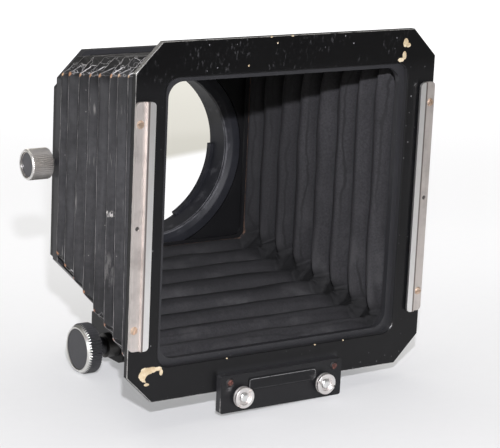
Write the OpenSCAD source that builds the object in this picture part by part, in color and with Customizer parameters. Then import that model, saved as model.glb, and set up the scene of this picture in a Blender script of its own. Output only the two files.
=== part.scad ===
// Bellows lens hood: a square front frame on two guide rods, a pleated bellows
// and a rear standard whose turning ring locks onto the front of a lens.
// Millimetres, +Z up, the front faces -Y.  The origin is the lens axis at the
// rear face of the bayonet plate.

/* [Front frame] */
// Side of the square front plate
frame_size = 110; // [100:1:120]
// Thickness of the front plate
frame_t = 2; // [1.6:0.1:3]
// Corner chamfer of the front plate
frame_chamfer = 8.9; // [6:0.1:11]
// Width of the plate's bars round the square aperture
frame_bar = 10.6; // [9.6:0.1:12]
// Corner radius of the aperture
aperture_r = 4; // [2:0.5:6]
// How far the front plate's centre sits below the lens axis
frame_drop = 2.7; // [1.5:0.1:3.5]

/* [Mask rails] */
// Length of each mask rail
rail_len = 75.6; // [60:0.2:84]
// Width of each mask rail
rail_w = 6.2; // [5.8:0.1:7]
// Width of the rail flange that is screwed down
rail_flange = 4.2; // [3.8:0.1:4.6]
// Sheet thickness of the rail
rail_t = 0.8; // [0.6:0.05:1]
// Gap under the rail lip, where a mask slides in
mask_gap = 0.9; // [0.7:0.05:1.3]
// Distance between the two screws of one rail
rail_screw_pitch = 62.4; // [48:0.2:66]

/* [Front bracket] */
// How far the bracket reaches past each rod axis
bracket_side = 7.3; // [6.4:0.1:9]
// Thickness of the bracket plate
bracket_t = 2.6; // [2.2:0.1:3.4]
// How far the bracket reaches up the front plate
bracket_lap = 5.6; // [5.2:0.1:6.6]
// How far the bracket hangs below the front plate
bracket_hang = 6.5; // [5.4:0.1:8]
// Distance of the bracket screws in from the bracket's ends
bracket_screw_in = 3.1; // [2.2:0.1:3.3]
// Gap between a rod axis and the end of the blank label
label_gap = 2.7; // [2.6:0.1:5]
// Height of the blank label
label_h = 4; // [3:0.1:4.2]

/* [Guide rods] */
// Diameter of each guide rod
rod_d = 5; // [4:0.1:5.6]
// Distance between the rod axes
rod_pitch = 31; // [29:0.2:34]
// How far the rod axes lie below the front plate's edge
rod_drop = 1.4; // [0.8:0.1:2.2]
// Running clearance round each rod and screw
run_gap = 0.04; // [0.02:0.01:0.08]
// Diameter of the slotted rod nut
nut_d = 6.8; // [6:0.1:7.4]
// How far the nut head stands off the bracket
nut_neck = 0.9; // [0.6:0.1:2]

/* [Bellows] */
// Length of the bellows at full extension
bellows_len = 69; // [62:0.5:80]
// Number of pleats
pleats = 8; // [6:1:10]
// Fold depth at the front end
fold_front = 8.4; // [6:0.1:9]
// Fold depth at the rear end
fold_rear = 7.2; // [5:0.1:8]
// How much less the folds stand out at the top and bottom
fold_flat = 3.2; // [1:0.1:3.4]
// Wall measured straight in from a ridge
bellows_wall = 1.5; // [1.2:0.1:2]
// Thickness of the card frame at the front of the bellows
front_card_t = 2; // [1.4:0.1:2.6]
// Thickness of the card frame at the rear of the bellows
rear_card_t = 1; // [0.8:0.1:2]

/* [Rear standard] */
// Side of the square rear frame
rear_size = 78.8; // [78:0.2:88]
// Depth of the rear frame
rear_frame_d = 3; // [2.6:0.1:6]
// Corner chamfer of the rear frame
rear_chamfer = 8.9; // [6:0.1:11]
// Width of the rear frame's side bars
rear_bar = 5.1; // [4.8:0.1:6]
// Height of the rear frame's top and bottom bars
rear_bar_v = 7.4; // [6.8:0.1:9]
// How far the rear frame's centre sits below the lens axis
rear_drop = 1.7; // [1:0.1:2.5]
// Thickness of the back plate
back_plate_t = 4.4; // [4.2:0.1:6]
// Corner chamfer of the back plate
back_chamfer = 9.6; // [8:0.1:11]
// How far the back plate's edge sits inside the rear frame's
back_inset = 1.4; // [0.8:0.1:2]
// How far the back plate's centre sits below the rear frame's
back_drop = 1.7; // [0:0.1:2]
// How far the back plate's tongue reaches past each rod axis
tongue_side = 4.4; // [4:0.1:7]

/* [Slide block] */
// How far the slide block reaches past each rod axis
block_side = 8.5; // [7:0.1:11]
// Length of the slide block
block_len = 21.5; // [19:0.5:28]
// Height of the slide block above the rod axes
block_over = 7; // [5.5:0.1:9]
// Depth of the slide block below the rod axes
block_under = 5.9; // [5:0.1:6.6]
// Length of each rod bush
bush_len = 3.2; // [2:0.1:4]
// Distance of the lock screw behind the block's front
lock_set = 5.5; // [5.2:0.1:7]

/* [Lens ring] */
// Length of the lens ring with its bayonet plate
ring_len = 12; // [11.5:0.1:16]
// Outer diameter of the lens ring
ring_d = 62.8; // [62:0.1:63.6]
// Wall of the lens ring round its bore
ring_wall = 2.9; // [2.4:0.1:3.4]
// How far the bayonet lugs stand in from the bore
lug_step = 1.2; // [0.9:0.1:1.8]
// How far the front flange stands out from the ring
flange_step = 1.7; // [1.2:0.1:2.2]
// Thickness of the front flange
flange_t = 1; // [0.8:0.1:1.2]
// Thickness of the bayonet plate
bayonet_t = 2.2; // [1.6:0.1:3]
// Angle covered by each of the three lugs
lug_angle = 60; // [45:1:80]

/* [Lock knob] */
// Diameter of the black lock knob
knob_d = 16.8; // [14:0.1:18]
// Thickness of the lock knob
knob_t = 5.2; // [4:0.1:7]
// Number of knurl teeth on the lock knob
knob_teeth = 54; // [40:1:64]
// Diameter of the lock screw
lock_d = 4; // [3:0.1:4.2]
// Length of the bright boss round the lock screw
boss_len = 4.2; // [3:0.1:6]
// Length of the hub between boss and knob
hub_len = 4.6; // [2.4:0.1:6]

/* [Ring clamp] */
// Diameter of the silver clamp knob
clamp_knob_d = 10.4; // [8:0.1:12]
// Length of the clamp knob
clamp_knob_len = 7.8; // [6:0.1:12]
// Number of knurl teeth on the clamp knob
clamp_teeth = 48; // [36:1:60]
// Diameter of the clamp screw
clamp_d = 2.4; // [2:0.05:2.5]

/* [Screws] */
// Diameter of the rail screws
rail_screw_d = 1.4; // [1.2:0.05:1.6]
// Diameter of the bracket screws
bracket_screw_d = 1.5; // [1.3:0.05:1.7]
// Diameter of the back plate screws
plate_screw_d = 1.8; // [1.5:0.05:2.1]
// Distance of the back plate screws in from the side edges
plate_screw_in = 3.2; // [2.6:0.1:4]
// Height of the back plate screws above and below the middle
plate_screw_rise = 22; // [18:0.5:25]
// Diameter of the block screws
block_screw_d = 2.4; // [2:0.05:2.6]
// Length of the block screws in the block
block_screw_len = 9; // [6:0.5:12]
// Distance of the block screws from the middle
block_screw_x = 7; // [4:0.5:8.5]
// Diameter of the bayonet screws
bayonet_screw_d = 1.2; // [1:0.05:1.4]
// Depth of the bayonet screws in the lens ring
bayonet_screw_in = 3.8; // [3:0.1:4.4]

/* [Hidden] */
$fn = 64;
eps = 0.01;
// Places along Y, from the rear face of the ring to the front of the bracket
y_plate = -ring_len;
y_back = y_plate + back_plate_t;
y_rear = y_plate - rear_frame_d;
y_bel_r = y_rear - rear_card_t;
y_bel_f = y_bel_r - bellows_len;
y_card = y_bel_f - front_card_t;
y_front = y_card - frame_t;
y_bracket = y_front - bracket_t;
y_block = y_plate - block_len;
y_lock = y_block + lock_set;
y_clamp = (y_plate + flange_t + y_back) / 2;
// Heights
zf = -frame_drop;
zr = -rear_drop;
half_f = frame_size / 2;
aperture = frame_size - 2 * frame_bar;
half_r = rear_size / 2;
rear_open_w = rear_size - 2 * rear_bar;
rear_open_h = rear_size - 2 * rear_bar_v;
half_b = half_r - back_inset;
zb = zr - back_drop;
z_edge = zf - half_f;
z_rod = z_edge - rod_drop;
z_bracket = z_edge - bracket_hang;
z_block = z_rod - block_under;
z_screw = z_edge + bracket_lap - 2.2;
z_label = z_edge + 1.8;
// Radii
rod_r = rod_d / 2;
stud_r = rod_r - 1;
nut_r = nut_d / 2;
neck_r = stud_r + 0.7;
bush_r = rod_r + 1.1;
ring_r = ring_d / 2;
bore_r = ring_r - ring_wall;
lug_r = bore_r - lug_step;
flange_d = ring_d + 2 * flange_step;
knob_r = knob_d / 2;
lock_r = lock_d / 2;
boss_r = lock_r + 2.1;
sleeve_r = lock_r + 1.2;
hub_r = lock_r + 1;
clamp_knob_r = clamp_knob_d / 2;
clamp_r = clamp_d / 2;
// Places along X
x_rod = rod_pitch / 2;
bracket_w = rod_pitch + 2 * bracket_side;
bracket_screw_x = bracket_w / 2 - bracket_screw_in;
label_w = rod_pitch - 2 * label_gap;
block_w = rod_pitch + 2 * block_side;
tongue_w = rod_pitch + 2 * tongue_side;
x_plate_screw = half_r - plate_screw_in;
x_rail_screw = half_f - 1.55;
x_block = -block_w / 2;
x_boss = x_block - boss_len;
x_hub = x_boss - 0.3;
x_knob = x_hub - hub_len;
x_tip = -x_rod - rod_r - 0.05;
x_edge = -half_b;
x_clamp_knob = -half_r - 1.4;
x_shoe = -ring_r - 0.1;
pad_t = 1.4;
shoe_t = 2;
x_pad = x_tip - pad_t;
x_shoe_end = x_shoe - shoe_t;
card_in = aperture / 2 - 1.8;
card_out = half_f - 2;
fold_in_f = aperture / 2 + 0.6;
fold_in_rx = rear_open_w / 2 + 0.4;
fold_in_rt = rear_open_h / 2 + 0.4;
rear_stop = 2.6;
stop_t = 1.2;
screw_in = rear_frame_d - 0.4;

// Extrude an X-Z outline forwards from y0 by t
module slab(y0, t) {
    translate([0, y0, 0]) rotate([90, 0, 0]) linear_extrude(t) children();
}

// A cylinder along +Y
module rod_y(x, y, z, r, h, fn = 48) {
    translate([x, y, z]) rotate([-90, 0, 0]) cylinder(r = r, h = h, $fn = fn);
}

// A cylinder along +X
module rod_x(x, y, z, r, h, fn = 48) {
    translate([x, y, z]) rotate([0, 90, 0]) cylinder(r = r, h = h, $fn = fn);
}

module octagon(h, c) {
    polygon([[h, c - h], [h, h - c], [h - c, h], [c - h, h], [-h, h - c], [-h, c - h],
        [c - h, -h], [h - c, -h]]);
}

module rounded(w, h, r) {
    square([w - 2 * r, h], center = true);
    square([w, h - 2 * r], center = true);
    for (sx = [-1, 1], sy = [-1, 1])
        translate([sx * (w / 2 - r), sy * (h / 2 - r)]) circle(r = r, $fn = 32);
}

// A slotted screw: head on the outside at y = 0, shank along +Y
module slot_screw(d, shank_len, turn) {
    head_r = 0.9 * d;
    head_t = 0.38 * d;
    difference() {
        translate([0, -head_t, 0]) rotate([-90, 0, 0])
            cylinder(r1 = head_r * 0.72, r2 = head_r, h = head_t, $fn = 32);
        rotate([0, turn, 0]) translate([-head_r, -head_t - eps, -0.1 * d])
            cube([2 * head_r, head_t * 0.6, 0.2 * d]);
    }
    rod_y(0, -eps, 0, d / 2, shank_len + eps, 24);
}

// A toothed disc, straight knurl, along +Z
module knurled(r, depth, teeth, h) {
    linear_extrude(h) polygon([for (i = [0 : 2 * teeth - 1])
        let (a = 180 * i / teeth, q = i % 2 == 0 ? r : r - depth) [q * cos(a), q * sin(a)]]);
}

module front_frame() {
    color([0.07, 0.07, 0.075]) difference() {
        slab(y_card, frame_t) difference() {
            translate([0, zf]) octagon(half_f, frame_chamfer);
            translate([0, zf]) rounded(aperture, aperture, aperture_r);
        }
        for (s = [-1, 1]) {
            rod_y(s * x_rod, y_front - 1, z_rod, rod_r + 0.2, frame_t + 2);
            rod_y(s * bracket_screw_x, y_front - 1, z_screw, bracket_screw_d / 2,
                frame_t + 2, 24);
            for (k = [-1, 0, 1])
                rod_y(s * x_rail_screw, y_front - 1, zf + k * rail_screw_pitch / 2,
                    rail_screw_d / 2, frame_t + 2, 24);
        }
    }
}

// One rail; side -1 is the left one
module mask_rail(side) {
    a = half_f;
    b = half_f - rail_flange;
    c = half_f - rail_w;
    lip = mask_gap + rail_t;
    difference() {
        intersection() {
            translate([0, 0, zf - rail_len / 2]) linear_extrude(rail_len)
                polygon([for (p = [[a, 0], [a, -rail_t], [b + rail_t, -rail_t],
                    [b + rail_t, -lip], [c, -lip], [c, -mask_gap], [b, -mask_gap], [b, 0]])
                    [side * p[0], y_front + p[1]]]);
            slab(y_front + 1, lip + 2)
                translate([side * (a + c) / 2, zf]) rounded(rail_w, rail_len, 1.4);
        }
        for (k = [-1, 0, 1])
            rod_y(side * x_rail_screw, y_front - 1, zf + k * rail_screw_pitch / 2,
                rail_screw_d / 2, 2, 24);
    }
}

module left_mask_rail() {
    color([0.62, 0.6, 0.56]) mask_rail(-1);
}

module right_mask_rail() {
    color([0.62, 0.6, 0.56]) mask_rail(1);
}

module rail_screws() {
    color([0.7, 0.56, 0.3]) for (s = [-1, 1], k = [-1, 1])
        translate([s * x_rail_screw, y_front - rail_t, zf + k * rail_screw_pitch / 2])
            slot_screw(rail_screw_d, rail_t + frame_t, 25 * s + 40 * k);
}

module rail_pins() {
    color([0.2, 0.18, 0.16]) for (s = [-1, 1])
        rod_y(s * x_rail_screw, y_front - rail_t + 0.3, zf, rail_screw_d / 2,
            rail_t - 0.3 + frame_t, 24);
}

module front_bracket() {
    top = z_edge + bracket_lap;
    color([0.08, 0.08, 0.085]) difference() {
        slab(y_front, bracket_t)
            translate([0, (top + z_bracket) / 2]) rounded(bracket_w, top - z_bracket, 0.8);
        for (s = [-1, 1]) {
            rod_y(s * x_rod, y_bracket - 1, z_rod, stud_r, bracket_t + 2, 32);
            rod_y(s * bracket_screw_x, y_bracket - 1, z_screw, bracket_screw_d / 2,
                bracket_t + 2, 24);
        }
    }
}

module bracket_screws() {
    color([0.45, 0.25, 0.16]) for (s = [-1, 1])
        translate([s * bracket_screw_x, y_bracket, z_screw])
            slot_screw(bracket_screw_d, bracket_t + frame_t, 30 * s);
}

module label_plate() {
    color([0.1, 0.1, 0.105]) slab(y_bracket, 0.35)
        translate([0, z_label]) rounded(label_w, label_h, 0.8);
}

// One rod with its stud through the bracket and a groove for the stop
module guide_rod(side) {
    end = y_back + rear_stop;
    difference() {
        rod_y(side * x_rod, y_front, z_rod, rod_r, end - y_front);
        difference() {
            rod_y(side * x_rod, y_back + 0.2, z_rod, rod_r + 1, stop_t);
            rod_y(side * x_rod, y_back, z_rod, rod_r - 0.4, stop_t + 1);
        }
    }
    stud = bracket_t + nut_neck + 1.8;
    rod_y(side * x_rod, y_front - stud, z_rod, stud_r, stud + eps, 32);
}

module left_guide_rod() {
    color([0.66, 0.65, 0.63]) guide_rod(-1);
}

module right_guide_rod() {
    color([0.66, 0.65, 0.63]) guide_rod(1);
}

// A slotted nut on a turned neck
module rod_nut(side, turn) {
    translate([side * x_rod, y_bracket, z_rod]) difference() {
        union() {
            rod_y(0, -nut_neck, 0, neck_r, nut_neck, 32);
            rod_y(0, -nut_neck - 1.5, 0, nut_r, 1.5 + eps);
            translate([0, -nut_neck - 1.9, 0]) rotate([-90, 0, 0])
                cylinder(r1 = nut_r - 0.4, r2 = nut_r, h = 0.4 + eps, $fn = 48);
        }
        rod_y(0, -nut_neck - 3, 0, stud_r, nut_neck + 4, 32);
        rod_y(0, -nut_neck - 3, 0, stud_r + 0.6, 1.8, 32);
        rotate([0, turn, 0]) translate([-nut_r - 1, -nut_neck - 3, -0.35])
            cube([2 * nut_r + 2, 2, 0.7]);
    }
}

module left_rod_nut() {
    color([0.6, 0.58, 0.54]) rod_nut(-1, -50);
}

module right_rod_nut() {
    color([0.6, 0.58, 0.54]) rod_nut(1, 20);
}

module rod_stops() {
    color([0.35, 0.35, 0.36]) for (s = [-1, 1]) difference() {
        rod_y(s * x_rod, y_back + 0.2, z_rod, rod_r + 1.2, stop_t);
        rod_y(s * x_rod, y_back, z_rod, rod_r - 0.4, stop_t + 1);
    }
}

module front_card() {
    color([0.06, 0.06, 0.062]) slab(y_bel_f, front_card_t) difference() {
        translate([0, zf]) octagon(card_out, frame_chamfer);
        translate([0, zf]) rounded(2 * card_in, 2 * card_in, aperture_r + 1);
    }
}

// Half width, top, bottom and the two corner chamfers of fold i
function lerp(a, b, t) = a + (b - a) * t;
function fold(i, d) = let (t = i / (2 * pleats), q = (i % 2) * lerp(fold_front, fold_rear, t) - d,
    v = q - (i % 2) * fold_flat, c = i % 2 == 1 ? [5.5, 9.5] : [3.5, 4])
    [lerp(fold_in_f, fold_in_rx, t) + q, lerp(zf + fold_in_f, fold_in_rt, t) + v,
        lerp(zf - fold_in_f, -fold_in_rt, t) - v, c[0], c[1]];
function fold_ring(i, d) = let (f = fold(i, d), y = y_bel_f + bellows_len * i / (2 * pleats),
    h = f[0], a = f[1], b = f[2], ct = f[3], cb = f[4])
    [[h, y, b + cb], [h, y, a - ct], [h - ct, y, a], [ct - h, y, a], [-h, y, a - ct],
        [-h, y, b + cb], [cb - h, y, b], [h - cb, y, b]];

module bellows() {
    n = 2 * pleats + 1;
    in0 = 8 * n;
    pts = concat([for (i = [0 : n - 1]) for (p = fold_ring(i, 0)) p],
        [for (i = [0 : n - 1]) for (p = fold_ring(i, bellows_wall)) p]);
    skin = [for (i = [0 : n - 2], j = [0 : 7]) let (k = (j + 1) % 8, a = 8 * i, b = 8 * i + 8)
        each [[a + j, a + k, b + k], [a + j, b + k, b + j],
            [in0 + a + j, in0 + b + k, in0 + a + k], [in0 + a + j, in0 + b + j, in0 + b + k]]];
    z = 8 * (n - 1);
    ends = [for (j = [0 : 7]) let (k = (j + 1) % 8)
        each [[j, in0 + j, in0 + k], [j, in0 + k, k],
            [z + j, in0 + z + k, in0 + z + j], [z + j, z + k, in0 + z + k]]];
    color([0.13, 0.13, 0.135]) polyhedron(pts, concat(skin, ends), convexity = 12);
}

module rear_card() {
    color([0.06, 0.06, 0.062]) slab(y_bel_r + rear_card_t, rear_card_t) difference() {
        translate([0, zr]) octagon(half_r - 1.5, rear_chamfer);
        rounded(rear_open_w - 4, rear_open_h - 4, 3);
    }
}

module rear_frame() {
    color([0.07, 0.07, 0.075]) difference() {
        slab(y_plate, rear_frame_d) difference() {
            translate([0, zr]) octagon(half_r, rear_chamfer);
            rounded(rear_open_w, rear_open_h, 3);
        }
        for (s = [-1, 1], k = [-1, 1])
            rod_y(s * x_plate_screw, y_plate - screw_in, zr + plate_screw_rise * k,
                plate_screw_d / 2, screw_in + 1, 24);
    }
}

module back_plate() {
    color([0.075, 0.075, 0.08]) difference() {
        slab(y_back, back_plate_t) difference() {
            union() {
                translate([0, zb]) octagon(half_b, back_chamfer);
                translate([-tongue_w / 2, z_block])
                    square([tongue_w, zb - half_b + back_chamfer - z_block]);
            }
            circle(r = ring_r + run_gap, $fn = 96);
        }
        rod_y(0, y_plate - 1, 0, flange_d / 2 + 0.3, flange_t + 1 + run_gap, 96);
        for (s = [-1, 1], k = [-1, 1])
            rod_y(s * x_plate_screw, y_plate - 1, zr + plate_screw_rise * k,
                plate_screw_d / 2, back_plate_t + 2, 24);
        for (s = [-1, 1]) {
            rod_y(s * x_rod, y_plate - 1, z_rod, rod_r + 0.25, back_plate_t + 2);
            rod_y(s * block_screw_x, y_plate - 1, z_rod + 1, block_screw_d / 2,
                back_plate_t + 2, 24);
        }
        rod_x(x_edge - 1, y_clamp, 0, clamp_r + run_gap, half_b + 1 - ring_r + 1, 32);
    }
}

module back_plate_screws() {
    color([0.3, 0.3, 0.3]) for (s = [-1, 1], k = [-1, 1])
        translate([s * x_plate_screw, y_back, zr + plate_screw_rise * k]) rotate([0, 0, 180])
            slot_screw(plate_screw_d, back_plate_t + screw_in, 30 * k);
}

module slide_block() {
    top = z_rod + block_over;
    r = 3.2;
    color([0.07, 0.07, 0.075]) difference() {
        translate([-block_w / 2, 0, 0]) rotate([90, 0, 90]) linear_extrude(block_w) {
            translate([y_block + r, z_block]) square([block_len - r, top - z_block]);
            translate([y_block, z_block + r]) square([block_len, top - z_block - r]);
            translate([y_block + r, z_block + r]) circle(r = r, $fn = 48);
        }
        for (s = [-1, 1]) {
            rod_y(s * x_rod, y_block - 1, z_rod, bush_r, block_len + 2);
            rod_y(s * block_screw_x, y_plate - block_screw_len, z_rod + 1, block_screw_d / 2,
                block_screw_len + 1, 24);
        }
        rod_x(x_block - 1, y_lock, z_rod, sleeve_r, -x_rod - x_block + 1, 48);
    }
}

module block_screws() {
    color([0.3, 0.3, 0.3]) for (s = [-1, 1])
        translate([s * block_screw_x, y_back, z_rod + 1]) rotate([0, 0, 180])
            slot_screw(block_screw_d, back_plate_t + block_screw_len, 20 * s);
}

module rod_bush(s, y) {
    difference() {
        rod_y(s * x_rod, y, z_rod, bush_r, bush_len);
        rod_y(s * x_rod, y - 1, z_rod, rod_r + run_gap, bush_len + 2);
    }
}

module front_bushes() {
    color([0.72, 0.55, 0.3]) for (s = [-1, 1]) rod_bush(s, y_block);
}

module rear_bushes() {
    color([0.72, 0.55, 0.3]) for (s = [-1, 1]) rod_bush(s, y_plate - bush_len);
}

module lock_boss() {
    color([0.74, 0.73, 0.71]) difference() {
        union() {
            rod_x(x_boss, y_lock, z_rod, boss_r, boss_len);
            rod_x(x_block - eps, y_lock, z_rod, sleeve_r, -x_rod - bush_r - 0.3 - x_block);
        }
        rod_x(x_boss - 1, y_lock, z_rod, lock_r + run_gap, block_w / 2);
    }
}

module lens_ring() {
    color([0.09, 0.09, 0.095]) difference() {
        union() {
            rod_y(0, -ring_len, 0, flange_d / 2, flange_t, 96);
            rod_y(0, -ring_len, 0, ring_r, ring_len - bayonet_t, 96);
        }
        rod_y(0, -ring_len - 1, 0, bore_r, ring_len + 2, 96);
        translate([0, -ring_len - eps, 0]) rotate([-90, 0, 0])
            cylinder(r1 = bore_r + 1.3, r2 = bore_r, h = 1.3, $fn = 96);
        for (k = [0 : 2])
            rotate([0, 120 * k + 90, 0])
                rod_y((bore_r + ring_r) / 2, -bayonet_t - bayonet_screw_in, 0, bayonet_screw_d / 2,
                    bayonet_screw_in + 1, 24);
    }
}

module bayonet_plate() {
    color([0.16, 0.16, 0.165]) difference() {
        rod_y(0, -bayonet_t, 0, ring_r, bayonet_t, 96);
        rod_y(0, -bayonet_t - 1, 0, lug_r, bayonet_t + 2, 96);
        for (k = [0 : 2])
            rotate([0, 120 * k + lug_angle - 120, 0]) intersection() {
                rod_y(0, -bayonet_t - 1, 0, bore_r, bayonet_t + 2, 96);
                slab(1, bayonet_t + 2)
                    polygon([[0, 0], for (a = [0 : 4]) let (q = -a * (120 - lug_angle) / 4)
                        [ring_d * cos(q), ring_d * sin(q)]]);
            }
        for (k = [0 : 2])
            rotate([0, 120 * k + 90, 0])
                rod_y((bore_r + ring_r) / 2, -bayonet_t - 1, 0, bayonet_screw_d / 2,
                    bayonet_t + 2, 24);
    }
}

module bayonet_screws() {
    color([0.5, 0.5, 0.5]) for (k = [0 : 2])
        rotate([0, 120 * k + 90, 0])
            rod_y((bore_r + ring_r) / 2, -bayonet_t - bayonet_screw_in, 0, bayonet_screw_d / 2,
                bayonet_screw_in + bayonet_t - 0.1, 24);
}

module ring_retainer() {
    color([0.12, 0.12, 0.125]) difference() {
        rod_y(0, y_back + 0.1, 0, ring_r + 2.6, 1.3, 96);
        rod_y(0, y_back - 1, 0, ring_r, 4, 96);
    }
}

module lock_pad() {
    color([0.72, 0.55, 0.3]) rod_x(x_pad, y_lock, z_rod, lock_r - 0.15, pad_t, 32);
}

module lock_screw() {
    color([0.6, 0.6, 0.6]) rod_x(x_knob - knob_t + 1.2, y_lock, z_rod, lock_r,
        x_pad - x_knob + knob_t - 1.2, 32);
}

module lock_knob() {
    color([0.06, 0.06, 0.062]) translate([x_knob - knob_t, y_lock, z_rod]) rotate([0, 90, 0])
        difference() {
            union() {
                cylinder(r1 = knob_r - 1.2, r2 = knob_r - 0.55, h = 0.7, $fn = 64);
                translate([0, 0, 0.7]) knurled(knob_r, 0.45, knob_teeth, knob_t - 1);
                translate([0, 0, knob_t - 0.3])
                    cylinder(r1 = knob_r - 0.55, r2 = knob_r - 0.85, h = 0.3, $fn = 64);
                cylinder(r = hub_r, h = knob_t + hub_len, $fn = 48);
            }
            translate([0, 0, -1]) cylinder(r = knob_r - 1.8, h = 1.7, $fn = 64);
            translate([0, 0, 1.2]) cylinder(r = lock_r, h = knob_t + hub_len, $fn = 32);
        }
}

module lock_knob_cap() {
    color([0.05, 0.05, 0.052]) rod_x(x_knob - knob_t + 0.2, y_lock, z_rod, knob_r - 1.8, 0.5, 64);
}

module clamp_shoe() {
    color([0.72, 0.55, 0.3]) rod_x(x_shoe_end, y_clamp, 0, clamp_r - 0.1, shoe_t, 32);
}

module clamp_screw() {
    color([0.6, 0.6, 0.6]) rod_x(x_clamp_knob - clamp_knob_len + 2, y_clamp, 0, clamp_r,
        x_shoe_end - x_clamp_knob + clamp_knob_len - 2, 32);
}

module clamp_knob() {
    color([0.74, 0.73, 0.71]) translate([x_clamp_knob - clamp_knob_len, y_clamp, 0])
        rotate([0, 90, 0]) difference() {
            union() {
                cylinder(r1 = clamp_knob_r - 0.8, r2 = clamp_knob_r - 0.4, h = 0.5, $fn = 64);
                translate([0, 0, 0.5]) knurled(clamp_knob_r, 0.3, clamp_teeth, clamp_knob_len - 0.9);
                translate([0, 0, clamp_knob_len - 0.4])
                    cylinder(r1 = clamp_knob_r - 0.4, r2 = clamp_knob_r - 0.7, h = 0.4, $fn = 64);
            }
            translate([0, 0, -1]) cylinder(r = clamp_knob_r - 1.2, h = 2.2, $fn = 48);
            translate([0, 0, 2]) cylinder(r = clamp_r, h = clamp_knob_len, $fn = 32);
        }
}

module clamp_knob_cap() {
    color([0.06, 0.06, 0.062]) rod_x(x_clamp_knob - clamp_knob_len + 0.6, y_clamp, 0,
        clamp_knob_r - 1.2, 0.6, 48);
}

front_frame();
left_mask_rail();
right_mask_rail();
rail_screws();
rail_pins();
front_bracket();
bracket_screws();
label_plate();
left_guide_rod();
right_guide_rod();
left_rod_nut();
right_rod_nut();
rod_stops();
front_card();
bellows();
rear_card();
rear_frame();
back_plate();
back_plate_screws();
slide_block();
block_screws();
front_bushes();
rear_bushes();
lock_boss();
lens_ring();
bayonet_plate();
bayonet_screws();
ring_retainer();
lock_pad();
lock_screw();
lock_knob();
lock_knob_cap();
clamp_shoe();
clamp_screw();
clamp_knob();
clamp_knob_cap();
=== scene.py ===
# %% [markdown]
# A bellows lens hood is two small standards joined by a pleated cloth tube. The solids of
# its pieces come from the imported model, so this lesson only dresses them: it loads the
# solids as a fixed frame, and then replaces or paints one piece after another.

# %% Load the solids
import math

import bpy
import numpy as np
from mathutils import Matrix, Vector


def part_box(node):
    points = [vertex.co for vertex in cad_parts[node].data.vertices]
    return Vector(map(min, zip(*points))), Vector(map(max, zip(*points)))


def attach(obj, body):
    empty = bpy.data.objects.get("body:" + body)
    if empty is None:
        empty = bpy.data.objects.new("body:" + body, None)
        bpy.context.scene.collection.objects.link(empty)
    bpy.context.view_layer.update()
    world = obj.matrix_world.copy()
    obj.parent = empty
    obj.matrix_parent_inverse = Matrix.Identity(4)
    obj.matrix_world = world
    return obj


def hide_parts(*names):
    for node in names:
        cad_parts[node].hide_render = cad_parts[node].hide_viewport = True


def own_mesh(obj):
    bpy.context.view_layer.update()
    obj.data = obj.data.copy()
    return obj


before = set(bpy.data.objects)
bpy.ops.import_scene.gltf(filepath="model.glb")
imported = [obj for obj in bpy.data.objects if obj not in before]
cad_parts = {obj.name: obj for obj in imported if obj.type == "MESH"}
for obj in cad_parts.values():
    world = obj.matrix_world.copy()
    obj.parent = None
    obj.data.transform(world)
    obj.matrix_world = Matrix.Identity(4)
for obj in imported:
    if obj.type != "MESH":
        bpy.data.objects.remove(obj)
pieces = dict(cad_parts)
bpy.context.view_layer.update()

# %% [markdown]
# A finish is a small graph of nodes. Written out node by node it is long and hard to read,
# so one class wraps a socket: adding or multiplying two of them adds the Math node that
# does it, and one method makes every other node. The finishes below then read as formulas.


# %% A socket that can be used in formulas
class Wire:
    """One output socket of a finish. Formulas of wires and numbers add Math nodes."""

    def __init__(self, tree, socket=None):
        self.tree = tree
        self.socket = socket

    def node(self, kind, settings, sockets, out=0):
        """A node of that type: settings first, then a value or a link for each socket."""
        made = self.tree.nodes.new(kind)
        for key, value in settings.items():
            setattr(made, key, value)
        for key, value in sockets.items():
            if isinstance(value, Wire):
                self.tree.links.new(value.socket, made.inputs[key])
            else:
                made.inputs[key].default_value = value
        if isinstance(out, tuple):
            return [Wire(self.tree, made.outputs[k]) for k in out]
        return Wire(self.tree, made.outputs[out])

    def maths(self, operation, first, second=0.0):
        """A Math node of this operation."""
        return self.node("ShaderNodeMath", {"operation": operation}, {0: first, 1: second})

    def __add__(self, other):
        return self.maths("ADD", self, other)

    __radd__ = __add__

    def __sub__(self, other):
        return self.maths("SUBTRACT", self, other)

    def __rsub__(self, other):
        return self.maths("SUBTRACT", other, self)

    def __mul__(self, other):
        return self.maths("MULTIPLY", self, other)

    __rmul__ = __mul__

    def __pow__(self, other):
        return self.maths("POWER", self, other)

    def __abs__(self):
        return self.maths("ABSOLUTE", self)

    def larger(self, other):
        return self.maths("MAXIMUM", self, other)

    def smaller(self, other):
        return self.maths("MINIMUM", self, other)

    def step(self, low, high):
        """0 at low and 1 at high, with a smooth way between; low may be the larger number."""
        return self.node(
            "ShaderNodeMapRange",
            {"interpolation_type": "SMOOTHSTEP"},
            {"Value": self, "From Min": low, "From Max": high},
        )

    def colour(self, at_zero, at_one):
        """The colour that goes from at_zero to at_one as this wire goes from 0 to 1."""
        ends = [c if isinstance(c, Wire) else (*c, 1.0) for c in (at_zero, at_one)]
        sockets = {0: self, 6: ends[0], 7: ends[1]}
        return self.node("ShaderNodeMix", {"data_type": "RGBA"}, sockets, 2)


# %% [markdown]
# Every finish starts the same way: a Principled shader whose steady values are set on its
# own sockets, and the place of a point on the object in metres. Patterns are sized in
# metres too, so a noise scale of 1000 has features of about a millimetre.


# %% Start a finish, and three patterns that most finishes share
def new_finish(name, steady):
    """A material, its shader with the steady values set, and the object place."""
    material = bpy.data.materials.new(name)
    material.use_nodes = True
    shader = material.node_tree.nodes["Principled BSDF"]
    for key, value in steady.items():
        shader.inputs[key].default_value = value
    place = Wire(material.node_tree).node("ShaderNodeTexCoord", {}, {}, "Object")
    return material, shader, place


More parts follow.
